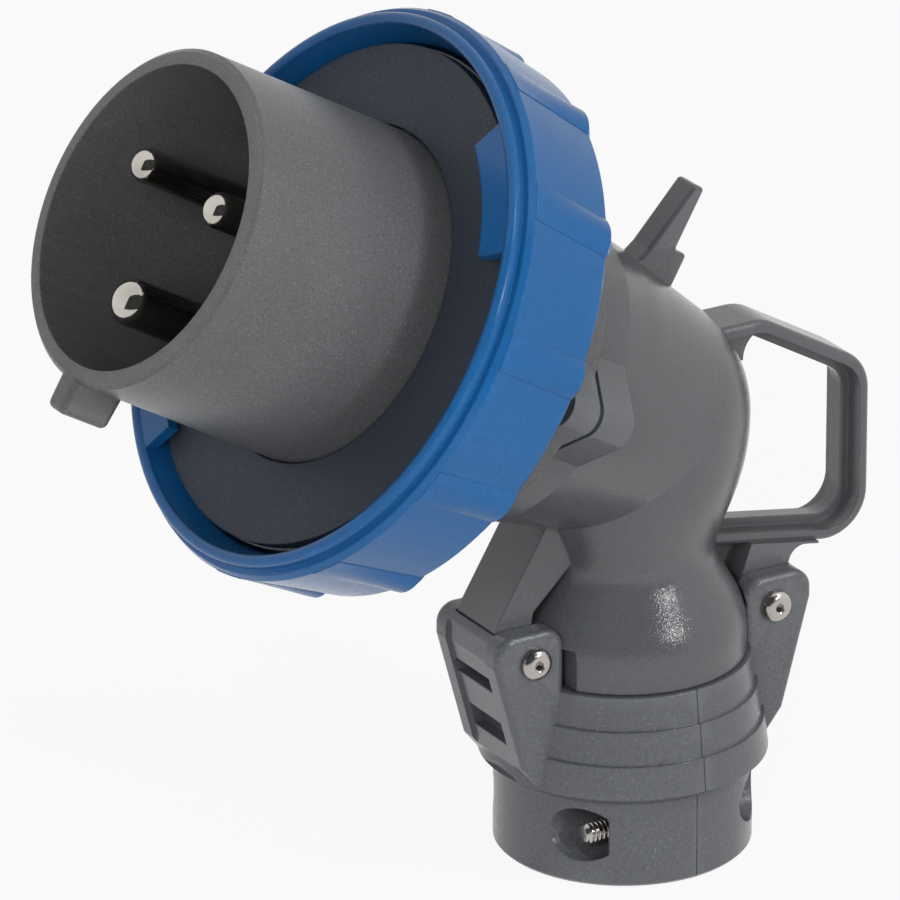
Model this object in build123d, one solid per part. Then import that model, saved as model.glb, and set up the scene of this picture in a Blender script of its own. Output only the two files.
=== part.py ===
from build123d import *
from math import atan, cos, radians, sin, tan
import os

# Angled industrial plug: a pin shroud with a bayonet ring, an elbow with a handle, and a split cable clamp.
# Millimetres. The cable axis is Z, with z = 0 at the mouth of the clamp. The plug axis leaves it forwards
# (-Y) and upwards. Distances named "at" below are measured along the plug axis from the bend.

# Layout
plug_tilt = 30.0
bend_height = 77.5
seam_at = 30.0
piece_gap = 0.1

# Shroud and its flanges
shroud_radius = 28.75
shroud_wall = 2.9
shroud_length = 40.6
rim_round = 0.8
socket_depth = 39.5
carrier_stop = 1.5
face_flange_radius = 43.0
face_flange_thickness = 5.4
hub_radius = 34.9
hub_wall = 2.6
neck_radius = 29.0
neck_length = 7.2
bead_height = 1.1
bead_width = 2.2
lobe_centre = 28.0
lobe_radius = 6.2
lobe_tip_radius = 3.4
flange_radius = 26.4
flange_waist = 22.5
shroud_lobe_thickness = 5.5
elbow_lobe_thickness = 6.8
key_width = 5.0
key_height = 5.5
key_length = 10.4
key_slope = 0.6
key_edge_round = 1.2

# Gaskets
face_gasket_thickness = 2.5
face_gasket_clearance = 0.3
face_gasket_margin = 0.3
flange_gasket_thickness = 0.8

# Locking ring
ring_clearance = 0.4
ring_end_gap = 0.3
ring_flange_thickness = 4.0
ring_float = 7.0
ring_wall_gap = 0.7
ring_rear_wall = 2.6
ring_lip_reach = 3.4
ring_lip_height = 2.4
ring_lip_setback = 1.5
ring_lip_wall = 2.1
ring_shoulder_width = 1.6
ring_edge_round = 1.2
rib_count = 12
rib_phase = -22.0
rib_width = 6.6
rib_sink = 1.2
rib_rear_height = 1.3
rib_front_height = 0.1
ramp_depth = 6.0
ramp_gap = 0.6
ramp_start = 27.0
ramp_sweep = 30.0
ring_turn = 40.0
stop_lug_sweep = 12.0
stop_lug_height = 2.2
stop_lug_angle = 90.0
stop_gap_angle = 0.6

# Pins and their carrier
pin_circle_radius = 13.5
live_pin_radius = 3.0
earth_pin_radius = 4.0
pin_recess = 2.3
pin_tip_share = 0.8
pin_land = 0.6
pin_barrel_wall = 1.7
pin_barrel_seat = 8.0
pin_barrel_length = 11.0
wire_bore_wall = 1.6
wire_bore_depth = 8.0
carrier_length = 22.0
terminal_screw_radius = 1.9
terminal_head_radius = 2.9
terminal_head_height = 2.0
terminal_setback = 5.0
screw_slot = 0.9

# Elbow
bend_radius = 20.9
elbow_flare = 0.21
elbow_wall = 3.2
bend_foot_radius = 17.0
bend_foot_height = 59.5
throat_radius = 15.4
throat_height = 53.2
throat_bore = 11.8
shoulder_radius = 20.7
shoulder_height = 38.5
shoulder_swell = 1.0
shoulder_foot = 34.6
shoulder_flat = 16.7
shoulder_flat_top = 41.5
spigot_radius = 17.5
spigot_foot = 22.0
spigot_bore = 13.5
inner_spigot_radius = 25.5
inner_spigot_bore = 22.6
flange_screw_radius = 2.4
flange_head_radius = 3.8
flange_head_height = 3.2
flange_head_clearance = 0.3

# Handle
handle_reach = 45.4
handle_top = 90.2
handle_corner_height = 78.2
handle_corner_top_reach = 24.5
handle_rise = 5.5
handle_bottom_rise = 6.0
handle_half_width = 5.2
handle_band = 2.0
handle_web = 1.6
handle_web_half_width = 1.5
handle_corner_round = 8.0
handle_lower_round = 8.0
handle_edge_round = 1.2
handle_gusset = 5.0
handle_gusset_foot = 14.6
handle_gusset_hollow = 1.2

# Lid hook, in distances along the plug axis and out from it
hook_half_width = 2.8
hook_height = 39.3
hook_post_at = 6.9
hook_post_thickness = 2.2
hook_post_slope = 2.9
hook_knee_height = 26.5
hook_step_height = 28.0
hook_step_depth = 2.6
hook_toe_at = 15.0
hook_edge_round = 0.7

# Clamp arms and pivots
pivot_reach = 23.6
pivot_height = 40.5
arm_half_width = 6.0
arm_gap = 0.3
arm_waist_rise = 4.2
front_arm_top_reach = 16.8
front_arm_top = 66.0
front_arm_inner_reach = 21.4
front_arm_inner_rise = 7.2
front_arm_root_height = 55.0
front_arm_waist_reach = 22.0
rear_arm_top_reach = 21.5
rear_arm_waist_reach = 19.4
rear_arm_round = 3.0
rear_arm_sink = 0.4
pivot_screw_radius = 1.5
pivot_head_radius = 2.85
pivot_head_height = 1.7
pivot_head_round = 1.2
pivot_socket_radius = 0.8
pivot_nut_width = 5.5
pivot_nut_height = 2.4

# Clamp jaws
jaw_split = 0.14
jaw_split_at = 1.1
jaw_radius = 21.9
jaw_foot_chamfer = 0.6
cable_bore = 9.5
cable_seat_height = 14.0
collar_bottom = 15.2
collar_top_gap = 0.3
collar_bottom_radius = 24.5
collar_flare_height = 1.8
collar_step = 0.55
collar_taper = 0.65
collar_bands = 3
ear_half_width = 10.2
ear_rise = 5.2
ear_reach = 31.0
ear_inner_reach = 17.8
ear_heel_reach = 22.3
ear_heel_height = 4.2
ear_wall = 1.8
ear_web_recess = 0.6
ear_round = 3.5
ear_edge_round = 1.2
ear_slot_half_width = 5.6
ear_upper_slot = (34.8, 37.0)
ear_lower_slot = (24.2, 28.4)
ear_lower_slot_reach = 23.5

# Clamp screws
clamp_screw_spread = 13.8
clamp_screw_height = 9.1
clamp_screw_radius = 2.0
clamp_screw_tip = 16.4
clamp_head_radius = 3.5
clamp_head_height = 2.8
clamp_insert_radius = 3.2
window_radius = 4.75
window_edge = 3.5
window_floor = 9.5

# Cable grommet
grommet_taper = 1.5

# Distances along the plug axis that follow from the sizes above
elbow_lobe_at = seam_at - elbow_lobe_thickness
shroud_rear_at = seam_at + flange_gasket_thickness
shroud_lobe_front_at = shroud_rear_at + shroud_lobe_thickness
bead_rear_at = shroud_lobe_front_at + neck_length
bead_front_at = bead_rear_at + bead_width
ring_rear_at = bead_front_at + ring_end_gap
ring_flange_front_at = ring_rear_at + ring_flange_thickness
face_flange_rear_at = ring_flange_front_at + ring_float
face_flange_front_at = face_flange_rear_at + face_flange_thickness
gasket_front_at = face_flange_front_at + face_gasket_thickness
rim_at = gasket_front_at + shroud_length
socket_floor_at = rim_at - socket_depth
carrier_rear_at = socket_floor_at - carrier_length
ring_front_at = gasket_front_at + ring_lip_reach
ring_shoulder_at = ring_front_at - ring_lip_height
shroud_bore = shroud_radius - shroud_wall
ring_bore = hub_radius + ring_clearance
ring_inner_radius = face_flange_radius + ring_wall_gap
ring_rear_radius = ring_inner_radius + ring_rear_wall
ring_lip_inner_radius = ring_inner_radius + ring_lip_setback
ring_lip_outer_radius = ring_lip_inner_radius + ring_lip_wall
ring_front_radius = ring_lip_outer_radius + ring_shoulder_width
collar_top = shoulder_foot - collar_top_gap
grommet_bore = cable_bore + piece_gap
handle_bottom = pivot_height + handle_rise
arm_waist_height = pivot_height + arm_waist_rise
front_arm_inner_height = pivot_height + front_arm_inner_rise
ear_top = pivot_height + ear_rise
arm_reach = ear_reach - ear_wall - arm_gap
arm_eye_radius = arm_reach - pivot_reach
arm_root = throat_radius - elbow_wall / 2
handle_root = bend_radius / 2

tilt = radians(plug_tilt)
plug = Plane(origin=(0, 0, bend_height), x_dir=(1, 0, 0), z_dir=(0, -cos(tilt), sin(tilt)))


def on_plug(shape):
    """Carries a shape from the plug's own frame, with its axis as Z and 12 o'clock as Y."""
    return plug.location * shape


def turned(points):
    """Revolves a closed outline of (radius, height) points about Z."""
    return revolve(Plane.XZ * make_face(Polyline(*points, close=True)), Axis.Z)


def turned_sector(points, start, sweep):
    """Revolves an outline through part of a turn, starting at an angle from X."""
    return Rot(0, 0, start) * revolve(Plane.XZ * make_face(Polyline(*points, close=True)), Axis.Z, sweep)


def rod(radius, bottom, top):
    """A cylinder on Z between two heights."""
    return Pos(0, 0, bottom) * Cylinder(radius, top - bottom, align=(Align.CENTER, Align.CENTER, Align.MIN))


def plate(points, half_width):
    """A plate lying in the YZ plane, with the same thickness to both sides of it."""
    return extrude(Plane.YZ * make_face(Polyline(*points, close=True)), half_width, both=True)


def cross_rod(y, z, radius, half_length):
    """A cylinder along X through a point of the YZ plane."""
    return Pos(0, y, z) * Rot(0, 90, 0) * Cylinder(radius, 2 * half_length)


def lobed_outline(margin):
    """Round flange outline with a lobe for a screw at 3 and at 9 o'clock."""
    circles = Circle(flange_waist + margin).edges()
    tip_centre = lobe_centre + lobe_radius - lobe_tip_radius
    for side in (-1, 1):
        circles += (Pos(side * tip_centre, 0) * Circle(lobe_tip_radius + margin)).edges()
    return make_hull(circles) + Circle(flange_radius + margin)


def lobed_plate(bottom, top, margin=0.0):
    return Pos(0, 0, bottom) * extrude(lobed_outline(margin), top - bottom)


def at_lobes(shape):
    return [Pos(side * lobe_centre, 0, 0) * shape for side in (-1, 1)]


def elbow_cone_radius(at):
    """Outer radius of the flaring plug side of the elbow, tangent to the ball of the bend."""
    return bend_radius / cos(atan(elbow_flare)) + elbow_flare * at


def make_shroud():
    stop_radius = shroud_bore - carrier_stop
    body = turned(
        [
            (shroud_bore, shroud_rear_at),
            (neck_radius, shroud_rear_at),
            (neck_radius, bead_rear_at),
            (hub_radius + bead_height, bead_rear_at),
            (hub_radius + bead_height, bead_front_at - bead_height),
            (hub_radius, bead_front_at),
            (hub_radius, face_flange_rear_at),
            (face_flange_radius, face_flange_rear_at),
            (face_flange_radius, face_flange_front_at),
            (shroud_radius, face_flange_front_at),
            (shroud_radius, rim_at - rim_round),
            (shroud_radius - rim_round, rim_at),
            (shroud_bore, rim_at),
            (shroud_bore, socket_floor_at + carrier_stop),
            (stop_radius, socket_floor_at + carrier_stop),
            (stop_radius, socket_floor_at),
            (shroud_bore, socket_floor_at),
        ]
    )
    relief = rod(hub_radius - hub_wall, bead_rear_at, face_flange_rear_at)
    relief -= rod(neck_radius, bead_rear_at, face_flange_rear_at)
    flange = lobed_plate(shroud_rear_at, shroud_lobe_front_at)
    flange -= rod(shroud_bore, shroud_rear_at, shroud_lobe_front_at)
    key_foot = shroud_radius - shroud_wall / 2
    key_top = shroud_radius + key_height
    key = plate(
        [
            (-key_foot, rim_at),
            (-key_top, rim_at),
            (-key_top, rim_at - key_length + key_slope),
            (-key_foot, rim_at - key_length),
        ],
        key_width / 2,
    )
    key = fillet(key.edges(), key_edge_round)
    lugs = [
        turned_sector(
            [
                (hub_radius - hub_wall / 2, ring_rear_at),
                (hub_radius + stop_lug_height, ring_rear_at),
                (hub_radius + stop_lug_height, ring_flange_front_at),
                (hub_radius - hub_wall / 2, ring_flange_front_at),
            ],
            side + stop_lug_angle - stop_lug_sweep / 2,
            stop_lug_sweep,
        )
        for side in (0, 180)
    ]
    holes = at_lobes(rod(flange_screw_radius + piece_gap, shroud_rear_at, shroud_lobe_front_at))
    return on_plug(body - relief + flange + key + lugs - holes)


def rib_section(foot_radius, height, at):
    """Half-round section of a grip rib on the ring, standing on a radius at a distance along the axis."""
    half = rib_width / 2
    crest = ThreePointArc((foot_radius, -half), (foot_radius + height, 0), (foot_radius, half))
    root = Polyline(
        (foot_radius, half),
        (foot_radius - rib_sink, half),
        (foot_radius - rib_sink, -half),
        (foot_radius, -half),
    )
    return Pos(0, 0, at) * make_face([crest, root])


def make_ring():
    lip_round = ring_lip_wall / 2
    lip_middle = ring_lip_inner_radius + lip_round
    lip_foot_at = ring_front_at - lip_round
    body = turned(
        [
            (ring_bore, ring_rear_at),
            (ring_rear_radius - ring_edge_round, ring_rear_at),
            (ring_rear_radius, ring_rear_at + ring_edge_round),
            (ring_front_radius, ring_shoulder_at - ring_edge_round),
            (ring_front_radius - ring_edge_round / 2, ring_shoulder_at),
            (ring_lip_outer_radius, ring_shoulder_at),
            (ring_lip_outer_radius, lip_foot_at),
            (ring_lip_inner_radius, lip_foot_at),
            (ring_inner_radius, face_flange_front_at),
            (ring_inner_radius, ring_flange_front_at),
            (ring_bore, ring_flange_front_at),
        ]
    )
    body += revolve(Plane.XZ * Pos(lip_middle, lip_foot_at) * Circle(lip_round), Axis.Z)
    rib_sections = [
        rib_section(ring_rear_radius - ring_edge_round, rib_rear_height, ring_rear_at + piece_gap),
        rib_section(ring_rear_radius, rib_rear_height, ring_rear_at + ring_edge_round),
        rib_section(ring_front_radius, rib_front_height, ring_shoulder_at - ring_edge_round),
    ]
    rib = loft(rib_sections, ruled=True)
    ribs = [Rot(0, 0, rib_phase + turn * 360 / rib_count) * rib for turn in range(rib_count)]
    ramp_inner = ring_lip_inner_radius - ramp_depth
    ramp_rear_at = gasket_front_at + ramp_gap
    ramp_outer = ring_lip_inner_radius + ring_lip_wall / 3
    ramp = turned_sector(
        [
            (ramp_inner, ramp_rear_at),
            (ramp_outer, ramp_rear_at),
            (ramp_outer, ring_front_at - ring_edge_round / 2),
            (ramp_inner, ring_front_at - ring_edge_round / 2),
        ],
        ramp_start,
        ramp_sweep,
    )
    notch = turned_sector(
        [
            (ring_bore - ring_clearance, ring_rear_at - ring_end_gap),
            (hub_radius + stop_lug_height + ring_clearance, ring_rear_at - ring_end_gap),
            (hub_radius + stop_lug_height + ring_clearance, ring_flange_front_at + ring_end_gap),
            (ring_bore - ring_clearance, ring_flange_front_at + ring_end_gap),
        ],
        stop_lug_angle - stop_lug_sweep / 2 - ring_turn - stop_gap_angle,
        ring_turn + stop_lug_sweep + 2 * stop_gap_angle,
    )
    ring = body + ribs
    for side in (0, 180):
        ring += Rot(0, 0, side) * ramp
        ring -= Rot(0, 0, side) * notch
    return on_plug(ring)


def make_face_gasket():
    outer = face_flange_radius - face_gasket_margin
    inner = shroud_radius + face_gasket_clearance
    gasket = rod(outer, face_flange_front_at, gasket_front_at)
    gasket -= rod(inner, face_flange_front_at, gasket_front_at)
    return on_plug(gasket)


def make_flange_gasket():
    gasket = lobed_plate(seam_at, shroud_rear_at, -face_gasket_margin)
    gasket -= rod(shroud_bore, seam_at, shroud_rear_at)
    gasket -= at_lobes(rod(flange_screw_radius + 2 * piece_gap, seam_at, shroud_rear_at))
    return on_plug(gasket)


def pin_places():
    """Name, clock angle from 12 o'clock and radius of each pin."""
    return [
        ("line", 60.0, live_pin_radius),
        ("neutral", -60.0, live_pin_radius),
        ("earth", 180.0, earth_pin_radius),
    ]


def at_pin(angle, shape):
    """Sets a shape built with 12 o'clock outwards at the place of a pin."""
    return Rot(0, 0, angle) * Pos(0, pin_circle_radius, 0) * shape


def barrel_radius(pin_radius):
    return pin_radius + pin_barrel_wall


def make_pin(angle, radius):
    tip_at = rim_at - pin_recess
    barrel_top_at = carrier_rear_at + pin_barrel_seat
    barrel_rear_at = carrier_rear_at - pin_barrel_length
    pin = rod(radius, socket_floor_at, tip_at)
    pin = fillet(pin.edges().group_by(Axis.Z)[-1], radius * pin_tip_share)
    pin += rod(radius + pin_land, barrel_top_at, socket_floor_at)
    pin += rod(barrel_radius(radius), barrel_rear_at, barrel_top_at)
    pin -= rod(barrel_radius(radius) - wire_bore_wall, barrel_rear_at, barrel_rear_at + wire_bore_depth)
    screw_at = barrel_rear_at + terminal_setback
    hole = Pos(0, barrel_radius(radius), screw_at) * Rot(90, 0, 0)
    pin -= hole * Cylinder(terminal_screw_radius + piece_gap, 2 * barrel_radius(radius))
    return on_plug(at_pin(angle, pin))


def make_terminal_screw(angle, radius):
    barrel_rear_at = carrier_rear_at - pin_barrel_length
    screw_at = barrel_rear_at + terminal_setback
    outer = barrel_radius(radius)
    screw = rod(terminal_screw_radius, 0, outer)
    screw += rod(terminal_head_radius, outer, outer + terminal_head_height)
    slot = Box(2 * terminal_head_radius, screw_slot, terminal_head_height)
    screw -= Pos(0, 0, outer + terminal_head_height) * slot
    return on_plug(at_pin(angle, Pos(0, 0, screw_at) * Rot(-90, 0, 0) * screw))


def make_carrier():
    carrier = rod(shroud_bore - piece_gap, carrier_rear_at, socket_floor_at)
    for _, angle, radius in pin_places():
        seat = barrel_radius(radius) + piece_gap
        carrier -= at_pin(angle, rod(radius + pin_land + piece_gap, carrier_rear_at, socket_floor_at))
        carrier -= at_pin(angle, rod(seat, carrier_rear_at, carrier_rear_at + pin_barrel_seat))
    return on_plug(carrier)


def make_flange_screw(side):
    seat_at = elbow_lobe_at + flange_head_height + flange_head_clearance
    screw = rod(flange_screw_radius, seat_at, shroud_lobe_front_at)
    screw += rod(flange_head_radius, seat_at - flange_head_height, seat_at)
    slot = Box(2 * flange_head_radius, screw_slot, flange_head_height)
    screw -= Pos(0, 0, seat_at - flange_head_height) * slot
    return on_plug(Pos(side * lobe_centre, 0, 0) * screw)


def flare_outline(wall, mouth_radius, mouth_at):
    """Outline of the plug side of the elbow from its tangent circle on the ball to its mouth."""
    slope = atan(elbow_flare)
    ball_radius = bend_radius - wall
    start_at = -ball_radius * sin(slope)
    return [
        (0, start_at),
        (ball_radius * cos(slope), start_at),
        (mouth_radius, mouth_at),
        (0, mouth_at),
    ]


def shoulder_dome(margin):
    """Waisted neck from the bend down to the foot of the shoulder, grown by a margin."""
    swell_height = (throat_height + shoulder_height) / 2 + shoulder_swell
    side = Spline(
        (bend_radius + margin, bend_height),
        (bend_foot_radius + margin, bend_foot_height),
        (throat_radius + margin, throat_height),
        ((throat_radius + shoulder_radius) / 2 + margin, swell_height),
        (shoulder_radius + margin, shoulder_height),
        tangents=((0, -1), (0, -1)),
    )
    rest = Polyline(
        (shoulder_radius + margin, shoulder_height),
        (shoulder_radius + margin, shoulder_foot),
        (0, shoulder_foot),
        (0, bend_height),
        (bend_radius + margin, bend_height),
    )
    return revolve(Plane.XZ * make_face([side, rest]), Axis.Z)


def bend_saddle():
    """Fills the inner corner of the bend, turning from the neck into the flare round an arc."""
    reach = bend_height - bend_foot_height
    sweep = 90.0 - plug_tilt
    arc_radius = reach / tan(radians(sweep / 2))
    steps = 4
    sections = []
    for step in range(steps + 1):
        turn = radians(sweep * step / steps)
        centre = (0, arc_radius * (cos(turn) - 1), bend_foot_height + arc_radius * sin(turn))
        plane = Plane(origin=centre, x_dir=(1, 0, 0), z_dir=(0, -sin(turn), cos(turn)))
        radius = bend_foot_radius + (elbow_cone_radius(reach) - bend_foot_radius) * step / steps
        sections.append(plane * Circle(radius))
    return loft(sections)


def elbow_shell():
    """Outside of the bend: a ball, the flare towards the plug and the waisted neck down to the shoulder."""
    ball = on_plug(Sphere(bend_radius))
    flare = on_plug(turned(flare_outline(0, elbow_cone_radius(elbow_lobe_at), elbow_lobe_at)))
    neck = shoulder_dome(0.0) + rod(spigot_radius, spigot_foot, shoulder_foot)
    flat_height = shoulder_flat_top - shoulder_foot
    for side in (-1, 1):
        flat = Pos(0, side * (shoulder_flat + shoulder_radius / 2), shoulder_foot + flat_height / 2)
        neck -= flat * Box(3 * shoulder_radius, shoulder_radius, flat_height)
    flange = on_plug(lobed_plate(elbow_lobe_at, seam_at))
    tongue = on_plug(rod(inner_spigot_radius, seam_at, carrier_rear_at - piece_gap))
    return ball + flare + neck + bend_saddle() + flange + tongue


def elbow_hollow():
    """Inside of the bend: the way that the wires take from the clamp to the terminals."""
    ball = on_plug(Sphere(bend_radius - elbow_wall))
    flare = on_plug(turned(flare_outline(elbow_wall, inner_spigot_bore, elbow_lobe_at)))
    mouth = on_plug(rod(inner_spigot_bore, elbow_lobe_at, carrier_rear_at))
    neck = turned(
        [
            (0, spigot_foot),
            (spigot_bore, spigot_foot),
            (spigot_bore, shoulder_height),
            (throat_bore, throat_height),
            (bend_radius - elbow_wall, bend_height),
            (0, bend_height),
        ]
    )
    return ball + flare + mouth + neck


def make_handle():
    """Closed band with a T section: a wide outer flange and a narrow inner web."""
    outline = FilletPolyline(
        (handle_root, handle_top),
        (handle_corner_top_reach, handle_top),
        (handle_reach, handle_corner_height),
        (handle_reach, handle_bottom),
        (handle_root, handle_bottom + handle_bottom_rise),
        radius=[0, handle_corner_round, handle_corner_round, handle_lower_round, 0],
        close=True,
    )
    outer = make_face(outline)
    middle = offset(outer, -handle_band)
    inner = offset(outer, -handle_band - handle_web)
    band = extrude(Plane.YZ * (outer - middle), handle_half_width, both=True)
    rims = [face.outer_wire().edges() for face in band.faces().filter_by(Axis.X)]
    band = fillet([edge for rim in rims for edge in rim], handle_edge_round)
    web = extrude(Plane.YZ * (middle - inner), handle_web_half_width, both=True)
    under_top = handle_top - handle_band
    gusset_tip = (handle_corner_top_reach, under_top)
    gusset_heel = (bend_radius, under_top - handle_gusset)
    middle_reach = (handle_corner_top_reach + bend_radius) / 2 - handle_gusset_hollow
    under = ThreePointArc(gusset_tip, (middle_reach, under_top - handle_gusset / 2), gusset_heel)
    foot = Polyline(
        gusset_heel,
        (handle_gusset_foot, under_top - handle_gusset),
        (handle_gusset_foot, under_top),
        gusset_tip,
    )
    gusset = extrude(Plane.YZ * make_face([under, foot]), handle_half_width - handle_web, both=True)
    return band + web + gusset


def make_hook():
    """Post on the top of the elbow that the lid of the socket catches behind."""
    foot = bend_radius - elbow_wall / 2
    post_front = hook_post_at + hook_post_thickness
    hook = plate(
        [
            (foot, hook_post_at - hook_step_depth),
            (hook_step_height, hook_post_at - hook_step_depth),
            (hook_step_height, hook_post_at),
            (hook_height, hook_post_at),
            (hook_height, post_front),
            (hook_knee_height, post_front + hook_post_slope),
            (foot, hook_toe_at),
        ],
        hook_half_width,
    )
    return on_plug(fillet(hook.edges(), hook_edge_round))


def front_arm():
    """Arm from under the plug side of the elbow down to the front pivot."""
    eye = cross_rod(-pivot_reach, pivot_height, arm_eye_radius, arm_half_width)
    blade = plate(
        [
            (-arm_root, front_arm_top),
            (-front_arm_top_reach, front_arm_top),
            (-arm_reach, pivot_height + arm_eye_radius),
            (-arm_reach, pivot_height),
            (-front_arm_waist_reach, arm_waist_height),
            (-front_arm_inner_reach, front_arm_inner_height),
            (-arm_root, front_arm_root_height),
        ],
        arm_half_width,
    )
    return eye + blade


def under_bar(reach, depth=0.0):
    """Point on the underside of the handle's lower bar, or at a depth in it."""
    slope = handle_bottom_rise / (handle_reach - handle_root)
    return (reach, handle_bottom + slope * (handle_reach - reach) + depth)


def rear_arm():
    """Arm from the lower bar of the handle down to the rear pivot, with a thin web to the neck."""
    eye = cross_rod(pivot_reach, pivot_height, arm_eye_radius, arm_half_width)
    bar_reach = arm_reach + 2 * rear_arm_round
    side = FilletPolyline(
        under_bar(rear_arm_top_reach, rear_arm_sink),
        under_bar(bar_reach, rear_arm_sink),
        under_bar(bar_reach),
        under_bar(arm_reach),
        (arm_reach, pivot_height),
        (rear_arm_waist_reach, arm_waist_height),
        radius=[0, 0, 0, rear_arm_round, 0, 0],
        close=True,
    )
    blade = extrude(Plane.YZ * make_face(side), arm_half_width, both=True)
    web = plate(
        [
            under_bar(arm_root, rear_arm_sink),
            under_bar(pivot_reach, rear_arm_sink),
            (pivot_reach, arm_waist_height),
            (arm_root, arm_waist_height),
        ],
        handle_web_half_width,
    )
    return eye + blade + web


def make_elbow():
    solid = elbow_shell() + make_handle() + make_hook() + front_arm() + rear_arm()
    solid -= elbow_hollow()
    head_hole = flange_head_radius + flange_head_clearance
    head_depth = flange_head_height + flange_head_clearance
    for hole in at_lobes(rod(flange_screw_radius + 3 * piece_gap, elbow_lobe_at, seam_at)):
        solid -= on_plug(hole)
    for hole in at_lobes(rod(head_hole, elbow_lobe_at - flange_head_height, elbow_lobe_at + head_depth)):
        solid -= on_plug(hole)
    for side in (-1, 1):
        solid -= cross_rod(side * pivot_reach, pivot_height, pivot_screw_radius + piece_gap, arm_half_width)
    return solid


def along_clamp(edge, shape):
    """Lays a shape built on Z along the clamp screw of one edge, with Z forwards."""
    return Pos(edge * clamp_screw_spread, 0, clamp_screw_height) * Rot(90, 0, 0) * shape


def collar_outline():
    """Outer side of the clamp: a plain foot and three bands, each stepped in from the one below."""
    points = [
        (cable_bore, 0),
        (jaw_radius - jaw_foot_chamfer, 0),
        (jaw_radius, jaw_foot_chamfer),
        (jaw_radius, collar_bottom),
        (collar_bottom_radius, collar_bottom + collar_flare_height),
    ]
    band_height = (collar_top - collar_bottom - collar_flare_height) / collar_bands
    radius = collar_bottom_radius
    height = collar_bottom + collar_flare_height
    for band in range(collar_bands):
        height += band_height
        radius -= collar_taper
        points.append((radius, height))
        if band < collar_bands - 1:
            radius -= collar_step
            points.append((radius, height))
    spigot_seat = spigot_radius + arm_gap
    points += [
        (spigot_seat, collar_top),
        (spigot_seat, cable_seat_height),
        (cable_bore, cable_seat_height),
    ]
    return points


def make_jaw(side):
    """Half of the clamp with its ear: side is -1 for the front jaw and 1 for the rear one."""
    ear_foot = collar_bottom + collar_flare_height
    heel_share = ear_heel_height / (pivot_height - ear_foot)
    heel_out = collar_bottom_radius + (ear_reach - collar_bottom_radius) * heel_share
    ear = plate(
        [
            (side * spigot_radius, ear_foot),
            (side * ear_heel_reach, ear_foot),
            (side * heel_out, ear_foot + ear_heel_height),
            (side * ear_reach, pivot_height),
            (side * ear_reach, ear_top),
            (side * ear_inner_reach, ear_top),
            (side * ear_inner_reach, collar_top),
            (side * spigot_radius, collar_top),
        ],
        ear_half_width,
    )
    top_edges = ear.edges().filter_by(Axis.X).group_by(Axis.Z)[-1]
    ear = fillet(top_edges, ear_round)
    outer_faces = ear.faces().filter_by(Axis.X)
    ear = fillet(outer_faces.edges(), ear_edge_round)
    jaw = turned(collar_outline()) + (ear - rod(spigot_radius + arm_gap, ear_foot, ear_top))
    half = Pos(0, jaw_split_at + side * (jaw_split / 2 + 2 * ear_reach), ear_top / 2)
    jaw &= half * Box(4 * ear_reach, 4 * ear_reach, 2 * ear_top)
    slot_depth = ear_reach - ear_wall - shoulder_flat + arm_gap
    slot = Pos(0, side * (shoulder_flat - arm_gap + slot_depth / 2), (collar_top + 2 * ear_top) / 2)
    slot_half_width = arm_half_width + arm_gap
    jaw -= slot * Box(2 * slot_half_width, slot_depth, 2 * ear_top - collar_top)
    web_recess = plate(
        [
            (side * (collar_bottom_radius - ear_web_recess), ear_foot),
            (side * (ear_reach - ear_web_recess), pivot_height),
            (side * (ear_reach - ear_web_recess), ear_top),
            (side * (ear_reach + ear_wall), ear_top),
            (side * (ear_reach + ear_wall), ear_foot),
        ],
        slot_half_width,
    )
    jaw -= web_recess
    dome_reach = 2 * shoulder_radius
    jaw -= shoulder_dome(arm_gap) & rod(dome_reach, shoulder_flat_top - arm_gap, ear_top + arm_gap)
    for bottom, top, reach in (
        (ear_upper_slot[0], ear_upper_slot[1], pivot_reach),
        (ear_lower_slot[0], ear_lower_slot[1], ear_lower_slot_reach),
    ):
        core = Pos(0, side * (reach + ear_reach / 2), (bottom + top) / 2)
        jaw -= core * Box(2 * ear_slot_half_width, ear_reach, top - bottom)
    jaw -= cross_rod(side * pivot_reach, pivot_height, pivot_screw_radius + piece_gap, ear_half_width)
    bore = clamp_insert_radius + piece_gap if side < 0 else clamp_screw_radius + 2 * piece_gap
    for edge in (-1, 1):
        jaw -= along_clamp(edge, rod(bore, -window_floor, window_floor))
        head_window = rod(window_radius, -2 * jaw_radius, -window_floor)
        tip_window = rod(window_radius, window_floor, 2 * jaw_radius)
        tip_window &= Pos(edge * (window_edge - window_radius), 0, jaw_radius) * Box(
            2 * window_radius, 2 * window_radius, 2 * jaw_radius
        )
        jaw -= along_clamp(edge, head_window)
        jaw -= along_clamp(edge, tip_window)
    return jaw


def make_pivot_screw(side):
    screw = rod(pivot_screw_radius, -ear_half_width - pivot_nut_height, ear_half_width)
    head_top = ear_half_width + pivot_head_height
    head = rod(pivot_head_radius, ear_half_width, head_top)
    head = fillet(head.edges().group_by(Axis.Z)[-1], pivot_head_round)
    socket = Pos(0, 0, head_top) * Cylinder(pivot_socket_radius, pivot_head_height)
    return Pos(0, side * pivot_reach, pivot_height) * Rot(0, 90, 0) * (screw + head - socket)


def make_pivot_nut(side):
    nut = extrude(RegularPolygon(pivot_nut_width / 2, 6, major_radius=False), pivot_nut_height)
    nut -= rod(pivot_screw_radius + piece_gap / 2, 0, pivot_nut_height)
    place = Pos(-ear_half_width, side * pivot_reach, pivot_height) * Rot(0, -90, 0)
    return place * nut


def make_clamp_screw(edge):
    screw = rod(clamp_screw_radius, -window_floor, clamp_screw_tip)
    screw += rod(clamp_head_radius, -window_floor - clamp_head_height, -window_floor)
    drive = Pos(0, 0, -window_floor - clamp_head_height)
    screw -= drive * Box(2 * clamp_head_radius, screw_slot, clamp_head_height)
    return along_clamp(edge, screw)


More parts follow.
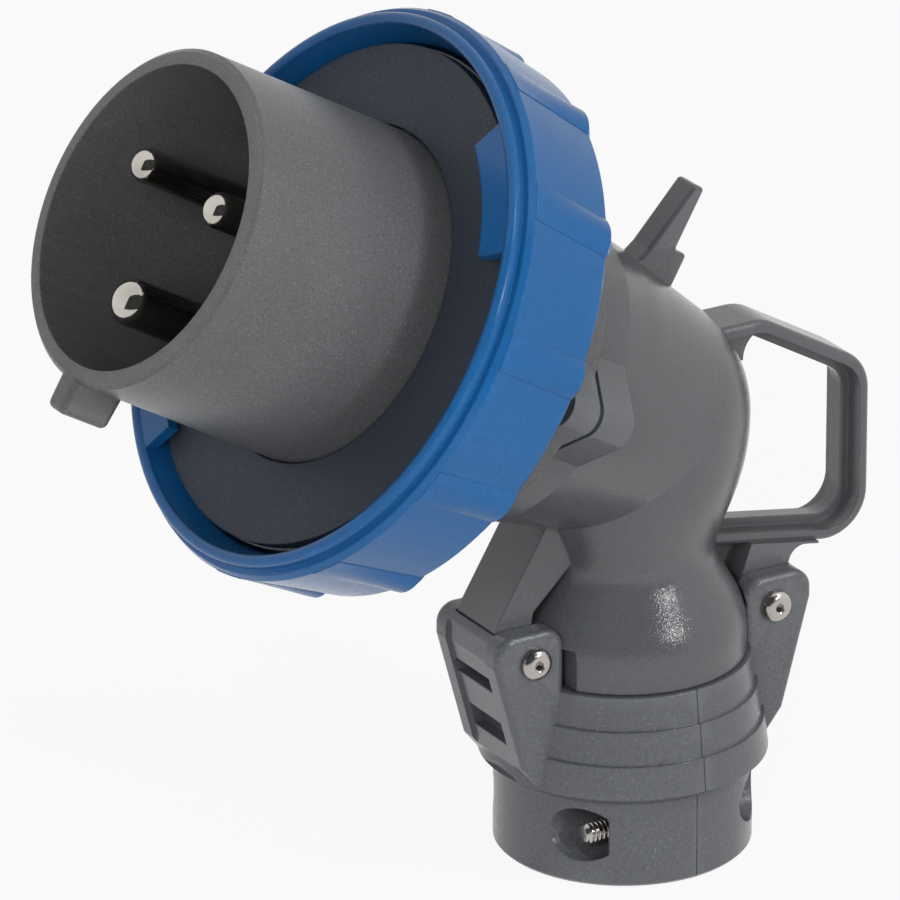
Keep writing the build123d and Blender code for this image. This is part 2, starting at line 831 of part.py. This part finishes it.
def make_clamp_insert(edge):
    insert = rod(clamp_insert_radius, jaw_split / 2, window_floor)
    insert -= rod(clamp_screw_radius + piece_gap / 2, jaw_split / 2, window_floor)
    return along_clamp(edge, insert)


def make_grommet():
    top = spigot_foot - piece_gap
    return turned(
        [
            (grommet_bore, cable_seat_height),
            (spigot_radius, cable_seat_height),
            (spigot_radius, top),
            (grommet_bore + grommet_taper, top),
            (grommet_bore, (cable_seat_height + top) / 2),
        ]
    )


def all_parts():
    parts = {
        "locking_ring": make_ring(),
        "plug_shroud": make_shroud(),
        "face_gasket": make_face_gasket(),
        "flange_gasket": make_flange_gasket(),
        "contact_carrier": make_carrier(),
        "elbow_housing": make_elbow(),
        "cable_grommet": make_grommet(),
    }
    for name, angle, radius in pin_places():
        parts[f"{name}_pin"] = make_pin(angle, radius)
        parts[f"{name}_terminal_screw"] = make_terminal_screw(angle, radius)
    for name, side in (("front", -1), ("rear", 1)):
        parts[f"{name}_clamp_jaw"] = make_jaw(side)
        parts[f"{name}_pivot_screw"] = make_pivot_screw(side)
        parts[f"{name}_pivot_nut"] = make_pivot_nut(side)
    for name, edge in (("right", 1), ("left", -1)):
        parts[f"{name}_clamp_screw"] = make_clamp_screw(edge)
        parts[f"{name}_clamp_insert"] = make_clamp_insert(edge)
        parts[f"{name}_flange_screw"] = make_flange_screw(edge)
    return parts


os.makedirs("parts", exist_ok=True)
for node, shape in all_parts().items():
    export_step(shape, f"parts/{node}.step")
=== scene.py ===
import math

import bpy
from mathutils import Matrix, Vector


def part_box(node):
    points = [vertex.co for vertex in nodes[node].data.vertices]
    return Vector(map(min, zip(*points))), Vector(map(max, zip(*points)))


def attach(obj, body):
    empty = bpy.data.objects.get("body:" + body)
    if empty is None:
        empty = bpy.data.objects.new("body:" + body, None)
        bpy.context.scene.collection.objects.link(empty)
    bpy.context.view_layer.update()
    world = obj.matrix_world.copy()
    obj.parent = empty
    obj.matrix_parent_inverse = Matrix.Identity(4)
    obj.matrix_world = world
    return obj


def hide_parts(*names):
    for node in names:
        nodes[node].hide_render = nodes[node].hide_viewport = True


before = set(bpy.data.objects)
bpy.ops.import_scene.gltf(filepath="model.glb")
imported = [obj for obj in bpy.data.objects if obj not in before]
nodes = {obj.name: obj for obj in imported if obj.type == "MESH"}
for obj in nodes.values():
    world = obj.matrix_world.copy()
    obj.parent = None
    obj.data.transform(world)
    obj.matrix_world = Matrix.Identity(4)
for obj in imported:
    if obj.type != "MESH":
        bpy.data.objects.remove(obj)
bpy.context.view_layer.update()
MM = 0.001
bpy.context.scene.view_settings.view_transform = "Standard"

# Small fasteners
SPUN_SEGMENTS = 48
SHARP_ANGLE = math.radians(35)
SLOT_HALF_WIDTH = 0.45 * MM
THREAD_RADIUS = 2.0 * MM
THREAD_DEPTH = 0.42 * MM
THREAD_PITCH = 0.8 * MM
THREAD_STEPS = 8
THREAD_START = 2.0 * MM  # from the plane of the cable axis
THREAD_CHAMFER = 0.5 * MM
THREAD_HALF_CREST = 1 / 12  # share of the pitch
THREAD_FLANK = 1 / 3  # share of the pitch
CLAMP_HEAD_HEIGHT = 2.8 * MM
CLAMP_HEAD_ROUND = 0.5 * MM
CLAMP_SLOT_DEPTH = 1.4 * MM
PIVOT_SHANK = 1.5 * MM
PIVOT_HEAD_HEIGHT = 1.7 * MM
PIVOT_RIM = 0.4 * MM
PIVOT_FLAT = 1.7 * MM
PIVOT_DOME_ANGLE = math.radians(75)
PIVOT_DOME_STEPS = 6
PIVOT_SOCKET = 0.85 * MM
PIVOT_SOCKET_CHAMFER = 0.15 * MM
PIVOT_SOCKET_DEPTH = 1.0 * MM

# Camera, measured from the photograph
CAMERA_AZIMUTH = math.radians(59.013)
CAMERA_ELEVATION = math.radians(22.662)
CAMERA_PLACE = Vector((1.40899, -0.88012, 0.76367))
CAMERA_LENS = 432.15
CAMERA_SENSOR = 36.0
CAMERA_CLIP_START = 0.05
CAMERA_CLIP_END = 20.0
level_right = Vector((math.cos(CAMERA_AZIMUTH), math.sin(CAMERA_AZIMUTH), 0))
level_near = Vector((math.sin(CAMERA_AZIMUTH), -math.cos(CAMERA_AZIMUTH), 0))

# Studio, in metres: a white room with a dim end behind the camera
STUDIO_MIDDLE = Vector((0.0, -0.03, 0.085))
WHITE = (1, 1, 1, 1)
ROOM_LIGHT = 0.29
STAGE_ROUGH = 0.9
FLOOR_HALF = 4.0
FLOOR_DROP = 0.4 * MM
FLOOR_COLOUR = (0.9, 0.9, 0.9, 1)
FLOOR_SPECULAR = 0.1
FLOOR_WHITE_SHARE = 0.91
WALL_DISTANCE = 2.3
WALL_HALF_WIDTH = 4.0
WALL_HEIGHT = 5.0
WALL_COLOUR = (0.15, 0.15, 0.155, 1)

# Texture of mouldings: scales in waves to the metre, and spans of a value that are spread out
EDGE_ROUND = 0.4 * MM
EDGE_SAMPLES = 4
TONE_SCALE = 45.0
TONE_SPAN = (0.3, 0.7)
PIT_SPAN = (0.4, 0.7)
PIT_MOTTLE = 2.5
FLECK_FINENESS = 1.35
FLECK_SPAN = (0.66, 0.74)
FLECK_BRIGHTNESS = 2.6
WORN_SPAN = (0.53, 0.62)
WORN_BRIGHTNESS = 1.7
GLOSS_SPAN = (0.25, 0.75)
GLOSS_PLAY = 0.08
GRAIN_STRENGTH = 0.6

# Texture of metals
TARNISH_SCALE = 220.0
TARNISH_SPAN = (0.35, 0.7)
TARNISH_BRIGHTNESS = 0.82
MARK_SPAN = (0.3, 0.7)
MARK_DULLEST = 1.4
MARK_BRIGHTEST = 0.7
MARK_STRENGTH = 0.25
MARK_DEPTH = 0.02 * MM

# Sockets of Blender's Mix node when it mixes colours
MIX_FACTOR, MIX_FIRST, MIX_SECOND, MIX_RESULT = 0, 6, 7, 2


def link(obj):
    bpy.context.scene.collection.objects.link(obj)
    return obj


def add_camera():
    back = level_near * math.cos(CAMERA_ELEVATION) + Vector((0, 0, math.sin(CAMERA_ELEVATION)))
    up = back.cross(level_right)
    data = bpy.data.cameras.new("photo_camera")
    data.lens = CAMERA_LENS
    data.sensor_width = CAMERA_SENSOR
    data.clip_start = CAMERA_CLIP_START
    data.clip_end = CAMERA_CLIP_END
    camera = link(bpy.data.objects.new("photo_camera", data))
    turn = Matrix((level_right, up, back)).transposed().to_4x4()
    camera.matrix_world = Matrix.Translation(CAMERA_PLACE) @ turn
    bpy.context.scene.camera = camera


def add_lamp(name, right, near, high, width, height, power):
    """A soft rectangle, right of, nearer than and above the studio's middle as the camera sees it."""
    data = bpy.data.lights.new(name, "AREA")
    data.shape = "RECTANGLE"
    data.size = width
    data.size_y = height
    data.energy = power
    place = STUDIO_MIDDLE + level_right * right + level_near * near + Vector((0, 0, high))
    lamp = link(bpy.data.objects.new(name, data))
    lamp.location = place
    lamp.rotation_euler = (STUDIO_MIDDLE - place).to_track_quat("-Z", "Y").to_euler()
    return lamp


def seen_white(tree):
    """1 for the rays that show the backdrop itself: from the camera, off a gloss or through glass."""
    path = tree.nodes.new("ShaderNodeLightPath")
    total = path.outputs["Is Camera Ray"]
    for kind in ("Is Glossy Ray", "Is Transmission Ray"):
        either = tree.nodes.new("ShaderNodeMath")
        either.operation = "MAXIMUM"
        tree.links.new(total, either.inputs[0])
        tree.links.new(path.outputs[kind], either.inputs[1])
        total = either.outputs[0]
    return total


def add_world():
    """Even light of ROOM_LIGHT on the object, from a room that is seen as white."""
    world = bpy.data.worlds.new("studio")
    bpy.context.scene.world = world
    world.use_nodes = True
    tree = world.node_tree
    tree.nodes.clear()
    out = tree.nodes.new("ShaderNodeOutputWorld")
    room = tree.nodes.new("ShaderNodeBackground")
    room.inputs["Color"].default_value = WHITE
    room.inputs["Strength"].default_value = ROOM_LIGHT
    white = tree.nodes.new("ShaderNodeBackground")
    white.inputs["Color"].default_value = WHITE
    white.inputs["Strength"].default_value = 1.0
    mix = tree.nodes.new("ShaderNodeMixShader")
    tree.links.new(seen_white(tree), mix.inputs[0])
    tree.links.new(room.outputs[0], mix.inputs[1])
    tree.links.new(white.outputs[0], mix.inputs[2])
    tree.links.new(mix.outputs[0], out.inputs["Surface"])


def stage_plane(name, corners, colour):
    """A matt plane of the studio, with its material's node tree and shader."""
    mesh = bpy.data.meshes.new(name)
    mesh.from_pydata(corners, [], [(0, 1, 2, 3)])
    plane = link(bpy.data.objects.new(name, mesh))
    material = bpy.data.materials.new(name)
    material.use_nodes = True
    shader = material.node_tree.nodes["Principled BSDF"]
    shader.inputs["Base Color"].default_value = colour
    shader.inputs["Roughness"].default_value = STAGE_ROUGH
    mesh.materials.append(material)
    return plane, material.node_tree, shader


def add_floor():
    """White floor that still takes the object's shadow, for the share that doesn't glow."""
    low, high = -FLOOR_HALF, FLOOR_HALF
    corners = [(low, low, 0), (high, low, 0), (high, high, 0), (low, high, 0)]
    floor, tree, shader = stage_plane("floor", corners, FLOOR_COLOUR)
    floor.location.z = -FLOOR_DROP
    shader.inputs["Specular IOR Level"].default_value = FLOOR_SPECULAR
    glow = tree.nodes.new("ShaderNodeEmission")
    glow.inputs["Color"].default_value = WHITE
    glow.inputs["Strength"].default_value = 1.0
    share = tree.nodes.new("ShaderNodeMath")
    share.operation = "MULTIPLY"
    share.inputs[1].default_value = FLOOR_WHITE_SHARE
    tree.links.new(seen_white(tree), share.inputs[0])
    mix = tree.nodes.new("ShaderNodeMixShader")
    tree.links.new(share.outputs[0], mix.inputs[0])
    tree.links.new(shader.outputs[0], mix.inputs[1])
    tree.links.new(glow.outputs[0], mix.inputs[2])
    tree.links.new(mix.outputs[0], tree.nodes["Material Output"].inputs["Surface"])


def add_dim_wall():
    """The unlit end of the studio, behind the camera: it shows in glosses alone."""
    foot = Vector((STUDIO_MIDDLE.x, STUDIO_MIDDLE.y, 0)) + level_near * WALL_DISTANCE
    side = level_right * WALL_HALF_WIDTH
    top = Vector((0, 0, WALL_HEIGHT))
    corners = [foot - side, foot + side, foot + side + top, foot - side + top]
    wall, _, _ = stage_plane("dim_wall", corners, WALL_COLOUR)
    wall.visible_camera = False
    wall.visible_diffuse = False
    wall.visible_transmission = False
    wall.visible_shadow = False


def noise(tree, place, scale, detail=2.0, rough=0.5):
    node = tree.nodes.new("ShaderNodeTexNoise")
    node.inputs["Scale"].default_value = scale
    node.inputs["Detail"].default_value = detail
    node.inputs["Roughness"].default_value = rough
    tree.links.new(place, node.inputs["Vector"])
    return node.outputs["Fac"]


def spread(tree, value, span, low=0.0, high=1.0):
    """A value's span stretched to the range from low to high, and held there beyond it."""
    node = tree.nodes.new("ShaderNodeMapRange")
    node.inputs["From Min"].default_value, node.inputs["From Max"].default_value = span
    node.inputs["To Min"].default_value = low
    node.inputs["To Max"].default_value = high
    tree.links.new(value, node.inputs["Value"])
    return node.outputs["Result"]


def blend_colour(tree, factor, first, second):
    """Mix of two colours, each given as a tuple or as a socket."""
    node = tree.nodes.new("ShaderNodeMix")
    node.data_type = "RGBA"
    for socket, value in ((node.inputs[MIX_FIRST], first), (node.inputs[MIX_SECOND], second)):
        if isinstance(value, tuple):
            socket.default_value = (*value, 1)
        else:
            tree.links.new(value, socket)
    tree.links.new(factor, node.inputs[MIX_FACTOR])
    return node.outputs[MIX_RESULT]


def shaded(colour, brightness):
    return tuple(min(1.0, c * brightness) for c in colour)


def moulded(name, colour, rough, grain, depth, fleck, mottle=0.08, edge=0.35, specular=0.5):
    """Moulded plastic: fine grain in the mould's face, pale flecks, uneven tone and rubbed edges.

    Grain is in waves to the metre and depth in millimetres; fleck, mottle and edge are shares."""
    material = bpy.data.materials.new(name)
    material.use_nodes = True
    tree = material.node_tree
    shader = tree.nodes["Principled BSDF"]
    shader.inputs["Specular IOR Level"].default_value = specular
    place = tree.nodes.new("ShaderNodeTexCoord").outputs["Object"]
    tone = spread(tree, noise(tree, place, TONE_SCALE, detail=3.0), TONE_SPAN)
    body = blend_colour(tree, tone, shaded(colour, 1 - mottle), shaded(colour, 1 + mottle))
    grain_noise = noise(tree, place, grain, rough=0.6)
    pits = spread(tree, grain_noise, PIT_SPAN)
    body = blend_colour(tree, pits, body, shaded(colour, 1 - PIT_MOTTLE * mottle))
    fleck_noise = noise(tree, place, grain * FLECK_FINENESS, detail=1.0)
    flecks = spread(tree, fleck_noise, FLECK_SPAN, high=fleck)
    body = blend_colour(tree, flecks, body, shaded(colour, FLECK_BRIGHTNESS))
    pointiness = tree.nodes.new("ShaderNodeNewGeometry").outputs["Pointiness"]
    worn = spread(tree, pointiness, WORN_SPAN, high=edge)
    body = blend_colour(tree, worn, body, shaded(colour, WORN_BRIGHTNESS))
    tree.links.new(body, shader.inputs["Base Color"])
    gloss = spread(tree, grain_noise, GLOSS_SPAN, rough - GLOSS_PLAY, rough + GLOSS_PLAY)
    tree.links.new(gloss, shader.inputs["Roughness"])
    bevel = tree.nodes.new("ShaderNodeBevel")
    bevel.samples = EDGE_SAMPLES
    bevel.inputs["Radius"].default_value = EDGE_ROUND
    bump = tree.nodes.new("ShaderNodeBump")
    bump.inputs["Strength"].default_value = GRAIN_STRENGTH
    bump.inputs["Distance"].default_value = depth * MM
    tree.links.new(grain_noise, bump.inputs["Height"])
    tree.links.new(bevel.outputs["Normal"], bump.inputs["Normal"])
    tree.links.new(bump.outputs["Normal"], shader.inputs["Normal"])
    return material


def metal(name, colour, rough, scratch):
    """Turned or plated metal: fine marks that change its gloss, and slight tarnish."""
    material = bpy.data.materials.new(name)
    material.use_nodes = True
    tree = material.node_tree
    shader = tree.nodes["Principled BSDF"]
    shader.inputs["Metallic"].default_value = 1.0
    place = tree.nodes.new("ShaderNodeTexCoord").outputs["Object"]
    tarnish = spread(tree, noise(tree, place, TARNISH_SCALE, detail=3.0), TARNISH_SPAN)
    body = blend_colour(tree, tarnish, colour, shaded(colour, TARNISH_BRIGHTNESS))
    tree.links.new(body, shader.inputs["Base Color"])
    marks = noise(tree, place, scratch, detail=3.0, rough=0.7)
    gloss = spread(tree, marks, MARK_SPAN, rough * MARK_BRIGHTEST, rough * MARK_DULLEST)
    tree.links.new(gloss, shader.inputs["Roughness"])
    bump = tree.nodes.new("ShaderNodeBump")
    bump.inputs["Strength"].default_value = MARK_STRENGTH
    bump.inputs["Distance"].default_value = MARK_DEPTH
    tree.links.new(marks, bump.inputs["Height"])
    tree.links.new(bump.outputs["Normal"], shader.inputs["Normal"])
    return material


def dress(material, *names):
    for name in names:
        mesh = nodes[name].data
        mesh.materials.clear()
        mesh.materials.append(material)


def spun(name, rows, place):
    """Solid turned about the local Z of a placement, from rows of (radius, height, reach).

    A row's reach is None for a round row, or gives the radius at an angle: a socket, a slot or a thread."""
    verts = []
    faces = []
    for radius, height, reach in rows:
        for step in range(SPUN_SEGMENTS):
            angle = math.tau * step / SPUN_SEGMENTS
            out = reach(radius, height, angle) if reach else radius
            verts.append(place @ Vector((out * math.cos(angle), out * math.sin(angle), height)))
    for row in range(len(rows) - 1):
        for step in range(SPUN_SEGMENTS):
            first = row * SPUN_SEGMENTS + step
            second = row * SPUN_SEGMENTS + (step + 1) % SPUN_SEGMENTS
            faces.append((first, second, second + SPUN_SEGMENTS, first + SPUN_SEGMENTS))
    faces.append(tuple(reversed(range(SPUN_SEGMENTS))))
    faces.append(tuple(range(len(verts) - SPUN_SEGMENTS, len(verts))))
    mesh = bpy.data.meshes.new(name)
    mesh.from_pydata(verts, [], faces)
    mesh.shade_smooth()
    mesh.set_sharp_from_angle(angle=SHARP_ANGLE)
    return link(bpy.data.objects.new(name, mesh))


# Reaches of a row: each takes its radius and height and an angle, though only a thread needs the height
def hexagon(radius, height, angle):
    sector = math.tau / 6
    return radius * math.cos(sector / 2) / math.cos(angle % sector - sector / 2)


def slot_outline(radius, height, angle):
    return min(radius, SLOT_HALF_WIDTH / max(abs(math.sin(angle)), SLOT_HALF_WIDTH / radius))


def thread_outline(radius, height, angle):
    """Radius on a right-hand thread: a ridge with a narrow crest and a narrow root."""
    phase = (height / THREAD_PITCH - angle / math.tau) % 1.0
    ridge = 1.0 - (abs(phase - 0.5) - THREAD_HALF_CREST) / THREAD_FLANK
    return radius - THREAD_DEPTH * (1.0 - min(1.0, max(0.0, ridge)))


def stand_for(piece, node, material):
    piece.data.materials.append(material)
    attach(piece, "plug_body")
    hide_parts(node)


def add_pivot_screw(node, material):
    """Button head screw with a hexagon socket, along X with its head to +X."""
    low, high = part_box(node)
    head = (high.y - low.y) / 2
    top = high.x
    seat = top - PIVOT_HEAD_HEIGHT
    brow = seat + PIVOT_RIM
    rows = [
        (PIVOT_SHANK, low.x, None),
        (PIVOT_SHANK, seat, None),
        (head, seat, None),
        (head, brow, None),
    ]
    for step in range(1, PIVOT_DOME_STEPS + 1):
        lean = PIVOT_DOME_ANGLE * step / PIVOT_DOME_STEPS
        rise = (top - brow) * math.sin(lean) / math.sin(PIVOT_DOME_ANGLE)
        inset = (head - PIVOT_FLAT) * (1 - math.cos(lean)) / (1 - math.cos(PIVOT_DOME_ANGLE))
        rows.append((head - inset, brow + rise, None))
    rows += [
        (PIVOT_SOCKET + PIVOT_SOCKET_CHAMFER, top, None),
        (PIVOT_SOCKET, top - PIVOT_SOCKET_CHAMFER, hexagon),
        (PIVOT_SOCKET, top - PIVOT_SOCKET_DEPTH, hexagon),
    ]
    middle = Matrix.Translation((0, (low.y + high.y) / 2, (low.z + high.z) / 2))
    place = middle @ Matrix.Rotation(math.pi / 2, 4, "Y")
    stand_for(spun(node + "_head", rows, place), node, material)


def add_clamp_screw(node, material):
    """Slotted screw along Y, with its head to +Y and a threaded end that shows in the window."""
    low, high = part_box(node)
    head = (high.x - low.x) / 2
    rear = -high.y
    tip = -low.y
    seat = rear + CLAMP_HEAD_HEIGHT
    rows = [
        (head - CLAMP_HEAD_ROUND, rear + CLAMP_SLOT_DEPTH, slot_outline),
        (head - CLAMP_HEAD_ROUND, rear, slot_outline),
        (head - CLAMP_HEAD_ROUND, rear, None),
        (head, rear + CLAMP_HEAD_ROUND, None),
        (head, seat, None),
        (THREAD_RADIUS, seat, None),
        (THREAD_RADIUS, THREAD_START, None),
    ]
    end = tip - THREAD_CHAMFER
    count = round((end - THREAD_START) / THREAD_PITCH * THREAD_STEPS)
    for step in range(count + 1):
        rows.append((THREAD_RADIUS, THREAD_START + (end - THREAD_START) * step / count, thread_outline))
    core = THREAD_RADIUS - THREAD_DEPTH
    rows.append((core, end + THREAD_CHAMFER / 2, None))
    rows.append((core - THREAD_CHAMFER / 2, tip, None))
    middle = Matrix.Translation(((low.x + high.x) / 2, 0, (low.z + high.z) / 2))
    place = middle @ Matrix.Rotation(math.pi / 2, 4, "X")
    stand_for(spun(node + "_thread", rows, place), node, material)


# Studio, with lamps in watts: the fill lights into the shroud, and the spark is mirrored in its stead
add_camera()
add_world()
add_lamp("key", right=0.95, near=0.35, high=0.95, width=0.2, height=0.45, power=2.85)
add_lamp("side", right=1.03, near=0.82, high=0.5, width=0.11, height=0.25, power=4.6)
fill = add_lamp("fill", right=-0.3, near=1.3, high=0.65, width=0.6, height=0.5, power=6.5)
fill.visible_glossy = False
add_lamp("spark", right=-0.3, near=1.3, high=0.65, width=0.14, height=0.14, power=0.4)
add_floor()
add_dim_wall()

# Mouldings and rubber
grey = moulded(
    "grey_moulding", colour=(0.139, 0.141, 0.146), rough=0.34, grain=2600.0, depth=0.08, fleck=0.6,
    mottle=0.12, specular=0.4,
)
elbow_grey = moulded(
    "elbow_moulding", colour=(0.115, 0.118, 0.126), rough=0.15, grain=2700.0, depth=0.1, fleck=0.12,
)
clamp_grey = moulded(
    "clamp_moulding", colour=(0.122, 0.128, 0.14), rough=0.24, grain=1900.0, depth=0.075, fleck=0.45,
)
blue = moulded(
    "blue_moulding", colour=(0.012, 0.13, 0.375), rough=0.22, grain=1500.0, depth=0.008, fleck=0.05,
    mottle=0.05, edge=0.3, specular=0.3,
)
gasket = moulded(
    "gasket_rubber", colour=(0.046, 0.055, 0.075), rough=0.55, grain=2600.0, depth=0.04, fleck=0.3,
    mottle=0.1, edge=0.0, specular=0.25,
)
dark = moulded(
    "dark_moulding", colour=(0.133, 0.142, 0.16), rough=0.5, grain=2600.0, depth=0.04, fleck=0.15,
    specular=0.3,
)
dress(grey, "plug_shroud")
dress(elbow_grey, "elbow_housing")
dress(clamp_grey, "front_clamp_jaw", "rear_clamp_jaw")
dress(blue, "locking_ring")
dress(gasket, "face_gasket", "flange_gasket", "cable_grommet")
dress(dark, "contact_carrier")

# Metals
nickel = metal("plated_nickel", colour=(0.55, 0.525, 0.475), rough=0.07, scratch=1800.0)
steel = metal("bright_steel", colour=(0.5, 0.475, 0.445), rough=0.2, scratch=2400.0)
brass = metal("turned_brass", colour=(0.66, 0.5, 0.24), rough=0.28, scratch=2400.0)
dress(nickel, "line_pin", "neutral_pin", "earth_pin")
dress(steel, "front_pivot_nut", "rear_pivot_nut", "right_flange_screw", "left_flange_screw")
dress(steel, "line_terminal_screw", "neutral_terminal_screw", "earth_terminal_screw")
dress(brass, "right_clamp_insert", "left_clamp_insert")
for screw in ("front_pivot_screw", "rear_pivot_screw"):
    add_pivot_screw(screw, steel)
for screw in ("right_clamp_screw", "left_clamp_screw"):
    add_clamp_screw(screw, steel)
